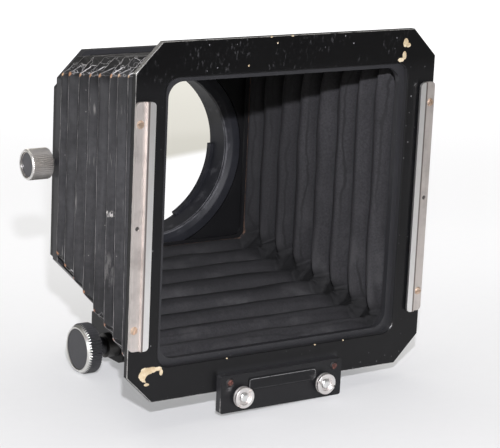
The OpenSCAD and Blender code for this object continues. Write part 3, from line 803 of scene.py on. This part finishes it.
# Rounded-off ring profile: radius and station in mm, closed on itself
RING = np.array([
    (33.1, -11.9), (33.1, -11.1), (33.0, -11.0), (31.4, -11.0), (31.4, -2.2), (28.5, -2.2),
    (28.5, -9.3), (28.75, -9.4), (28.75, -9.75), (28.5, -9.85), (28.5, -10.35), (28.8, -10.45),
    (28.8, -10.7), (28.65, -10.8), (29.9, -11.75), (30.2, -11.95), (30.5, -12.0), (33.0, -12.0),
])
ring = turned_grid(*RING.T, (0, 0, 0), "y", 144)
lens_ring = piece_from_grid("lens_ring_body", ring, "ring_group", wrap_rows=True, sharp=28.0)
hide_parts("lens_ring")

# %% [markdown]
# The lock knob is black with a bright bevel. Its marks say where the bevel was turned, so
# one material can be bare metal there and black everywhere else.

# %% The two knobs
LOCK_Y, LOCK_Z = -28.0, -59.1
CLAMP_Y = -9.3


def knob(name, body, face, tail, radius, count, depth, bevel, rim, centre, sides, worn=0.0):
    """A knurled drum from face to tail: a bevel at each end, a cup in its face, worn tips."""
    drum = np.linspace(0, tail - face, 6)[1:-1]
    near = np.linspace(0.0, bevel * 1.3, 10)
    far = tail - face - np.linspace(0.0, 0.5, 4)[::-1]
    depths = np.unique(np.concatenate([near, drum[(drum > near[-1]) & (drum < far[0])], far]))
    front_cone = rim + depths / bevel * (radius - rim)
    cone = np.minimum(front_cone, radius - 0.35 + (tail - face - depths) * 1.2)
    wall = radius - teeth(sides, count, depth, 0.8)[None, :]
    radii = np.minimum(cone[:, None], wall)
    bright = (cone[:, None] < wall + 0.01) & (depths[:, None] < bevel * 1.3)
    bright = np.maximum(bright, worn * (wall > radius - 0.3 * depth))
    cup = np.array([(rim - 0.5, 0.75, 0.0), (rim - 0.5, 0.12, 1.0), (rim - 0.35, 0.0, 1.0)])
    circle = np.ones((1, sides))
    stations = np.concatenate([cup[:, 1], depths]) + face
    radii = np.concatenate([cup[:, :1] * circle, radii])
    shine = np.concatenate([cup[:, 2:] * circle, bright])
    grid = turned_grid(radii, stations, centre, "x", sides)
    return piece_from_grid(name, grid, body, caps=True, marks={"bright": shine}, sharp=24.0)


lock_knob = knob(
    "lock_knob_body", "lock_knob_group", face=-38.3, tail=-33.1, radius=8.4, count=54,
    depth=0.75, bevel=1.5, rim=7.3, centre=(0, LOCK_Y, LOCK_Z), sides=54 * 8, worn=0.47,
)
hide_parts("lock_knob")
clamp_knob = knob(
    "clamp_knob_body", "clamp_knob_group", face=-48.6, tail=-40.8, radius=5.2, count=48,
    depth=0.28, bevel=0.6, rim=4.75, centre=(0, CLAMP_Y, 0), sides=48 * 6,
)
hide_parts("clamp_knob")

HUB = np.array([(3.0, -33.2), (3.0, -28.7), (2.8, -28.5)])
hub = turned_grid(*HUB.T, (0, LOCK_Y, LOCK_Z), "x", 64)
lock_hub = piece_from_grid("lock_knob_hub", hub, "lock_knob_group", caps=True)

# %% [markdown]
# The two rods are ground steel with a shoulder, a thinner stud through the bracket and a
# groove for the stop at the rear.


# %% The guide rods
ROD_X, ROD_SIDES = 15.5, 64
STUD_TIP = -93.5
# Domed stud, chamfered shoulder, rod, stop groove and rounded end: radius and station in mm
ROD = np.array([
    (0.5, -94.3), (0.95, -94.25), (1.3, -94.1), (1.45, -93.9), (1.45, -89.0), (2.2, -89.0),
    (2.5, -88.7), (2.5, -7.4), (2.1, -7.4), (2.1, -6.2), (2.5, -6.2), (2.5, -5.4), (2.1, -5.0),
])


def rod(name, node, x):
    """The rod's profile carried round, with the tip of its stud marked as bright."""
    grid = turned_grid(*ROD.T, (x, 0, LOCK_Z), "y", ROD_SIDES)
    shine = np.repeat(ROD[:, 1:] < STUD_TIP, ROD_SIDES, 1)
    made = piece_from_grid(name, grid, "front_standard", caps=True, marks={"bright": shine})
    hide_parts(node)


rod("left_rod_body", "left_guide_rod", -ROD_X)
rod("right_rod_body", "right_guide_rod", ROD_X)

# %% [markdown]
# Each rod is held by a nut: a neck, a grooved flange and a round recess with the stud's end
# in it. A slot runs across the flange. It is cut in the grid itself: where a point lies
# within the slot's width it may not stand further forward than the slot's floor.


# %% The rod nuts
SLOT_HALF, SLOT_FLOOR = 0.25, -93.65
NUT = np.array([
    (1.6, -91.6), (2.2, -91.6), (2.2, -92.5), (3.2, -92.5), (3.4, -92.65), (3.4, -93.1),
    (3.15, -93.2), (3.15, -93.4), (3.4, -93.5), (3.4, -94.2), (3.25, -94.4), (2.3, -94.4),
    (2.15, -94.3), (2.1, -93.6), (1.6, -93.6),
])


def rod_nut(name, node, x, lean):
    """The nut's profile carried round, with a slot at this angle in degrees."""
    sides = 192
    grid = turned_grid(*NUT.T, (x, 0, LOCK_Z), "y", sides)
    turn = np.arange(sides) * 2 * np.pi / sides - math.radians(lean)
    in_slot = np.abs(NUT[:, :1] * np.sin(turn)[None, :]) < SLOT_HALF
    front = grid[:, :, 1]
    grid[:, :, 1] = np.where(in_slot, np.maximum(front, SLOT_FLOOR * MM), front)
    made = piece_from_grid(name, grid, "front_standard", wrap_rows=True, sharp=28.0)
    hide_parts(node)


rod_nut("left_nut_body", "left_rod_nut", -ROD_X, 50)
rod_nut("right_nut_body", "right_rod_nut", ROD_X, -20)

# %% [markdown]
# Bare metals differ in colour, in how far they are polished and in which way the tool left
# its lines. One function makes them all: the lines are noise drawn out along one axis, and
# a slow cloud of tarnish darkens and dulls the metal.


# %% Bare metals
EVEN, ALONG_Y = (1.0, 1.0, 1.0), (1.0, 0.04, 1.0)


def bare_metal(name, light, dark, lines, rough, tarnish=0.4):
    """Metal between two colours, with tool lines drawn out along the small axis of lines."""
    material, shader, place = new_finish(name, {"Metallic": 1.0})
    brushed = cloud(stretched(place, lines), 900.0, 4.0, 0.6)
    dull = cloud(place, 110.0, 5.0).step(0.35, 0.75) * tarnish
    dots = specks(place, 420.0, 0.1, 0.25) * 0.5
    colour = (brushed * 0.45 + dull * 0.8 + dots * 0.5).colour(light, dark)
    finish = rough - 0.06 + 0.14 * brushed + 0.2 * dull
    feed(shader, colour=colour, rough=finish, bump=raised(brushed, 0.12, 0.00004))
    return material


def rail_nickel():
    """Dull nickel on the flange, a brighter lip, a painted shade line in the corner between the
    two, and stains on the flange.
    """
    material, shader, place = new_finish("rail_nickel", {"Metallic": 1.0})
    x, _, _ = axes(place)
    lip = abs(x).step(0.0509, 0.0507)
    # Painted shade in the corner between flange and lip.
    corner_shade = abs(abs(x) - 0.0511).step(0.0004, 0.00015) * 0.85
    brushed = cloud(stretched(place, (1.0, 1.0, 0.03)), 900.0, 4.0, 0.6)
    stain = cloud(place, 140.0, 5.0).step(0.45, 0.8) * 0.35
    flange = brushed.colour((0.8, 0.75, 0.72), (0.6, 0.55, 0.52))
    colour = lip.colour(flange, brushed.colour((0.95, 0.94, 0.93), (0.8, 0.79, 0.78)))
    colour = corner_shade.larger(stain * (1 - lip)).colour(colour, (0.16, 0.13, 0.12))
    finish = 0.42 + 0.14 * brushed - 0.1 * lip
    feed(shader, colour=colour, rough=finish, bump=raised(brushed, 0.12, 0.00004))
    return material


def brown_screw():
    """Dull brown metal, black with old paint towards the rim of each head."""
    material, shader, place = new_finish("brown_screw_heads", {"Roughness": 0.5})
    x, _, z = axes(place)
    u, v = abs(x) - 0.0197, z + 0.0543
    torn = (cloud(place, 900.0, 3.0) - 0.5) * 0.7
    rim = ((u * u + v * v) * 1e6 + torn).step(0.55, 1.2)
    patch = cloud(place, 1200.0, 3.0).step(0.35, 0.65)
    bare = patch.colour((0.05, 0.025, 0.022), (0.2, 0.085, 0.07))
    feed(shader, colour=rim.colour(bare, (0.009, 0.0085, 0.009)), metal=0.6 - 0.6 * rim)
    return material


nut_nickel = bare_metal("turned_nickel", (0.92, 0.89, 0.87), (0.66, 0.62, 0.6), EVEN, 0.36)
steel = bare_metal("ground_steel", (0.6, 0.59, 0.58), (0.35, 0.34, 0.33), ALONG_Y, 0.3)
brass = bare_metal("old_brass", (0.75, 0.52, 0.28), (0.42, 0.27, 0.13), EVEN, 0.4, 0.7)
copper = bare_metal("rail_screw_heads", (0.84, 0.67, 0.54), (0.46, 0.32, 0.23), EVEN, 0.36, 0.6)
dark_steel = bare_metal("dark_steel", (0.16, 0.155, 0.15), (0.06, 0.06, 0.06), EVEN, 0.42, 0.8)
dress(["left_mask_rail", "right_mask_rail"], rail_nickel())
dress(["left_nut_body", "right_nut_body"], nut_nickel)
dress(["rail_screws"], copper)
dress(["front_bushes", "rear_bushes", "lock_pad", "clamp_shoe"], brass)
dress(["bracket_screws"], brown_screw())
dress(["rail_pins", "back_plate_screws", "block_screws"], dark_steel)
dress(["bayonet_screws", "rod_stops", "lock_boss"], dark_steel)
dress(["lock_screw", "clamp_screw"], steel)

# %% [markdown]
# The knobs and rods mix two finishes by their marks: black and bright on the lock knob,
# knurled nickel with a brighter rim on the clamp knob, and steel with a polished end.


# %% Finishes of the knobs
def knob_finish(name, body, rim, rough, metal):
    """Body colour, with the bright mark polished to the rim colour."""
    material, shader, place = new_finish(name, {})
    bright = mark(place, "bright").step(0.4, 0.6)
    wear = cloud(place, 500.0, 4.0)
    smear = cloud(place, 140.0, 4.0)
    base = (wear * 0.6 + smear * 0.4).colour([c * 0.7 for c in body], [c * 1.3 for c in body])
    colour = bright.colour(base, wear.colour([c * 0.85 for c in rim], rim))
    sheen = rough + 0.12 * smear - (rough - 0.24) * bright
    feed(shader, colour=colour, rough=sheen, metal=metal + (1 - metal) * bright,
         bump=raised(wear, 0.15, 0.00005))
    return material


rod_steel = knob_finish("rod_steel", (0.48, 0.47, 0.46), (0.95, 0.95, 0.94), 0.32, 1.0)
dress(["left_rod_body", "right_rod_body"], rod_steel)
lock_black = knob_finish("lock_knob_black", (0.034, 0.034, 0.036), (0.78, 0.77, 0.74), 0.38, 0.0)
dress(["lock_knob_body"], lock_black)
dress(["lock_knob_hub"], black_paint("hub_black", 0.014, dust=0.2))
clamp_nickel = knob_finish("clamp_knob_nickel", (0.66, 0.63, 0.6), (0.8, 0.79, 0.77), 0.4, 1.0)
dress(["clamp_knob_body"], clamp_nickel)
dress(["lock_knob_cap"], black_paint("knob_face", 0.036, dust=0.3))
dress(["clamp_knob_cap"], black_paint("clamp_face", 0.055, dust=0.3))

# %% [markdown]
# What is left is dark metalwork behind the bellows: the rear frame, the back plate, the
# block that guides the rods, the ring and its bayonet. They share the black paint, which is
# lighter on the rear frame as a painted sheen, and the turned ring has a smoother, bluish
# black of its own.


# %% Dark metalwork
def rear_edges(place):
    """1 near the outline of the rear standard."""
    x, y, _ = axes(place)
    corner = 0.0394 - abs(x)
    return corner.step(0.0004, 0.0001) * abs(y + 0.0152).step(0.0005, 0.0001) * 0.6


def bracket_ends(place):
    """1 on the front edge of the bracket's left end."""
    x, y, z = axes(place)
    front = abs(y + 0.0914).step(0.0006, 0.0001)
    return x.step(-0.0224, -0.0227) * front * z.step(-0.055, -0.06) * 0.5


def bracket_dust_and_fill(place):
    """1 on the top and the sides of the bracket, behind its front face: dust and a painted fill
    light that lightens them.
    """
    _, y, _ = axes(place)
    return y.step(-0.0916, -0.0914) * 0.7


def ring_black():
    """Anodised black with smudges in the bore and thin worn lines on its turned edges."""
    material, shader, place = new_finish("ring_black", {"Specular IOR Level": 0.22})
    x, y, z = axes(place)
    smear = cloud(place, 130.0, 5.0)
    lines = cloud(stretched(place, (0.25, 1.0, 0.25)), 800.0, 3.0)
    colour = (smear * 0.7 + lines * 0.3).colour((0.004, 0.0045, 0.006), (0.02, 0.0205, 0.0255))
    bore = (x * x + z * z).step(0.00089, 0.00086)
    smudge = cloud(place, 260.0, 5.0, 0.6).step(0.52, 0.74) * bore * 0.6
    colour = smudge.colour(colour, (0.06, 0.06, 0.066))
    edges = abs(abs(y + 0.00985) - 0.00053).step(0.0001, 0.00003)
    edges = edges.larger(abs(y + 0.0108).step(0.00012, 0.00004)) * bore * smear.step(0.3, 0.6)
    colour = (edges * 0.5).colour(colour, (0.16, 0.16, 0.17))
    feed(shader, colour=colour, rough=0.44 + 0.2 * smear, bump=raised(lines, 0.1, 0.00003))
    return material


dark_paint = black_paint("standard_paint", 0.007, rear_edges, dust=0.4)
dress(["back_plate", "slide_block"], dark_paint)
# The rear frame's paint is lighter, a painted sheen.
dress(["rear_frame"], black_paint("rear_frame_paint_with_sheen", 0.026, rear_edges, dust=0.6))
# The bracket's top and sides take dust and a painted fill light.
bracket_black = black_paint("bracket_paint", 0.009, bracket_ends, dust=0.9, dust_and_fill=bracket_dust_and_fill)
dress(["front_bracket"], bracket_black)
dress(["rear_card"], black_paint("card_black", 0.007, dust=0.15))
dress(["front_card"], black_paint("card_grey", 0.02, dust=0.15))
dress(["lens_ring_body", "bayonet_plate", "ring_retainer"], ring_black())

# %% [markdown]
# The label is a bare plate: black, with one thin light line round it. The line is drawn by
# the finish, where the distance to the label's outline has one particular value.


# %% The bare label
def label_finish():
    """Black with a thin line: the distance to a rectangle with round corners is near 0."""
    material, shader, place = new_finish("label_black", {"Specular IOR Level": 0.2})
    x, _, z = axes(place)
    over, above = abs(x) - 0.0117, abs(z + 0.0559) - 0.0009
    past, higher = over.larger(0.0), above.larger(0.0)
    gap = (past * past + higher * higher) ** 0.5 + over.larger(above).smaller(0.0) - 0.0007
    line = abs(gap).step(0.00013, 0.00007)
    worn = cloud(place, 700.0, 3.0)
    line = line * worn.step(0.25, 0.5) * (0.15 + 0.85 * z.step(-0.0574, -0.0571))
    base = cloud(place, 90.0, 4.0).colour((0.005, 0.005, 0.0055), (0.01, 0.01, 0.011))
    feed(shader, colour=(line * 0.26).colour(base, (0.5, 0.5, 0.5)), rough=0.42 + 0.2 * worn,
         bump=raised(line, 0.3, 0.00003))
    return material


dress(["label_plate"], label_finish())

# %% [markdown]
# The hood stands on a white table. It leans a little, because the lock knob props up its
# left side, so the floor is the plane through the three places where it touches. The floor
# takes shadows from the lamps, and it is lifted towards white for the camera and for
# reflections only, so that no extra light falls on the hood. Its colour darkens towards the
# viewer, a painted falloff of light. Behind the hood, where it is seen through the ring, it
# has a painted beige shadow of the hood and a painted pool of light where the lamp shines
# through the ring.


# %% The floor
touch = np.array([(-33.4, -28.0, -67.55), (24.0, -20.0, -65.05), (22.8, -90.0, -64.25)]) * MM
up = np.cross(touch[1] - touch[0], touch[2] - touch[0])
up /= np.linalg.norm(up) * np.sign(up[2])
TILES = 25
reach = np.linspace(-3.0, 3.0, TILES)
gx, gy = np.meshgrid(reach, reach)
gz = touch[0][2] - (up[0] * (gx - touch[0][0]) + up[1] * (gy - touch[0][1])) / up[2]
tiles = quads_between(np.arange(TILES * TILES).reshape(TILES, TILES))
floor_mesh = bpy.data.meshes.new("white_table")
floor_mesh.from_pydata(np.stack([gx, gy, gz], -1).reshape(-1, 3).tolist(), [], tiles.tolist())
floor = add_object("white_table", floor_mesh)


# Paper and its glow, plain and in the painted beige shadow of the hood
NO_LIGHT = (0.0, 0.0, 0.0)
PAPER_GREY, PAPER_WHITE, PAPER_SHADOW_BEIGE = (0.93, 0.93, 0.93), (0.97, 0.97, 0.97), (0.71, 0.7, 0.645)
GLOW_WHITE, GLOW_SHADOW_BEIGE = (1.7, 1.71, 1.75), (1.275, 1.25, 1.15)


def floor_finish():
    """White paper whose colour darkens towards the viewer as a painted falloff of light, with a
    painted beige shadow of the hood and a painted pool of light behind it: part plain, part
    glow for the eye only."""
    material, shader, place = new_finish(
        "white_paper", {"Roughness": 1.0, "Specular IOR Level": 0.0}
    )
    x, y, _ = axes(place)
    depth = 0.56 * x + 0.83 * y
    seen, shine, through = place.node(
        "ShaderNodeLightPath", {}, {}, ("Is Camera Ray", "Is Glossy Ray", "Is Transmission Ray")
    )
    # Painted falloff of light: the paper's colour darkens towards the viewer, except for the
    # camera.
    white = (0.1 + 0.9 * depth.step(-0.42, -0.1)).larger(seen * 0.87)
    grain = cloud(place, 300.0, 3.0)
    paper = grain.colour(PAPER_GREY, PAPER_WHITE)
    behind, across = 0.988 * y - 0.152 * x, 0.86 * x - 0.5 * y
    # Painted shadow of the hood on the paper behind it, beige, in a lane seen through the ring.
    shadow_lane = across.step(-0.03, 0.008) * across.step(0.09, 0.048)
    shade = behind.step(0.2, 0.216) * behind.step(0.44, 0.36) * shadow_lane
    paper = shade.colour(paper, PAPER_SHADOW_BEIGE)
    feed(shader, colour=white.colour(NO_LIGHT, paper))
    far = 0.31 + 0.29 * depth.step(-0.13, 0.15) + 0.6 * depth.step(0.15, 0.9)
    # Painted pool of light where the lamp shines through the ring.
    far = far + 0.2 * shadow_lane * behind.step(0.08, 0.16) * (1 - shade)
    far = far + seen * depth.step(-0.2, -0.6)
    lit = (white * far).colour(NO_LIGHT, shade.colour(GLOW_WHITE, GLOW_SHADOW_BEIGE))
    glow = place.node("ShaderNodeEmission", {}, {"Color": lit, "Strength": 1.0})
    share = seen.larger(shine).larger(through) * 0.55
    mixed = place.node("ShaderNodeMixShader", {}, {0: share, 2: glow})
    tree = material.node_tree
    tree.links.new(shader.outputs[0], mixed.socket.node.inputs[1])
    tree.links.new(mixed.socket, tree.nodes["Material Output"].inputs["Surface"])
    return material


floor_mesh.materials.append(floor_finish())

# %% [markdown]
# The light is soft and plain: a pale surround, one small lamp near the camera that casts the
# shadows, and three panels. The left one shows as a sheen on the dark sides, the front one
# fills in the shadows, and the top one lights the table.


# %% Light
def placed(side, rise, back, place):
    """The matrix of an object at place whose own axes point along side, rise and back."""
    return Matrix([*np.stack([side, rise, back, place], 1).tolist(), [0, 0, 0, 1]])


def aim(lamp, place, target):
    """Turns a lamp at place so that it faces target."""
    back = np.array(place, float) - np.array(target, float)
    back /= np.linalg.norm(back)
    side = np.cross((0, 0, 1), back)
    side /= np.linalg.norm(side)
    lamp.matrix_world = placed(side, np.cross(back, side), back, place)


def panel(name, place, size, watts):
    """A round lamp of this width in metres, warm white, that faces the hood."""
    data = bpy.data.lights.new(name, "AREA")
    data.shape = "DISK"
    data.size = size
    data.energy = watts
    data.color = (1.0, 0.97, 0.91)
    aim(add_object(name, data), place, (0.0, -0.05, 0.0))


key = bpy.data.lights.new("key_lamp", "SPOT")
key.energy = 25.5
key.color = (0.945, 0.945, 1.0)
key.spot_size = math.radians(46)
key.spot_blend = 0.6
key.shadow_soft_size = 0.009
aim(add_object("key_lamp", key), (-0.329, -0.568, 0.227), (0.0, -0.03, 0.0))
panel("left_panel", (-1.3, -0.1, 0.5), 1.2, 2.2)
panel("front_panel", (-0.34, -0.66, 0.1), 0.4, 0.9)
panel("top_panel", (0.1, 0.3, 1.6), 1.6, 16.0)
world = bpy.data.worlds.new("pale_room")
world.use_nodes = True
surround = world.node_tree.nodes["Background"]
surround.inputs["Color"].default_value = (1.0, 0.98, 0.95, 1.0)
camera_ray = Wire(world.node_tree).node("ShaderNodeLightPath", {}, {}, "Is Camera Ray")
level = 0.16 + 0.84 * camera_ray
world.node_tree.links.new(level.socket, surround.inputs["Strength"])
bpy.context.scene.world = world

# %% [markdown]
# The camera stands to the left and a little above, where lines traced on the front plate,
# the rails and the bracket meet their places on the solids.

# %% Camera and view transform
right = (0.8338212, -0.5502443, 0.0444217)
rise = (0.0942150, 0.2211341, 0.9706818)
back = (-0.5439353, -0.8051900, 0.2362276)
eye = (-0.3461578, -0.5819909, 0.1394160)
camera_data = bpy.data.cameras.new("camera")
camera_data.sensor_width = 36.0
camera_data.lens = 144.524
camera_data.clip_start = 0.01
camera_data.clip_end = 20.0
camera = add_object("camera", camera_data)
camera.matrix_world = placed(right, rise, back, eye)
bpy.context.scene.camera = camera
bpy.context.scene.view_settings.view_transform = "Standard"
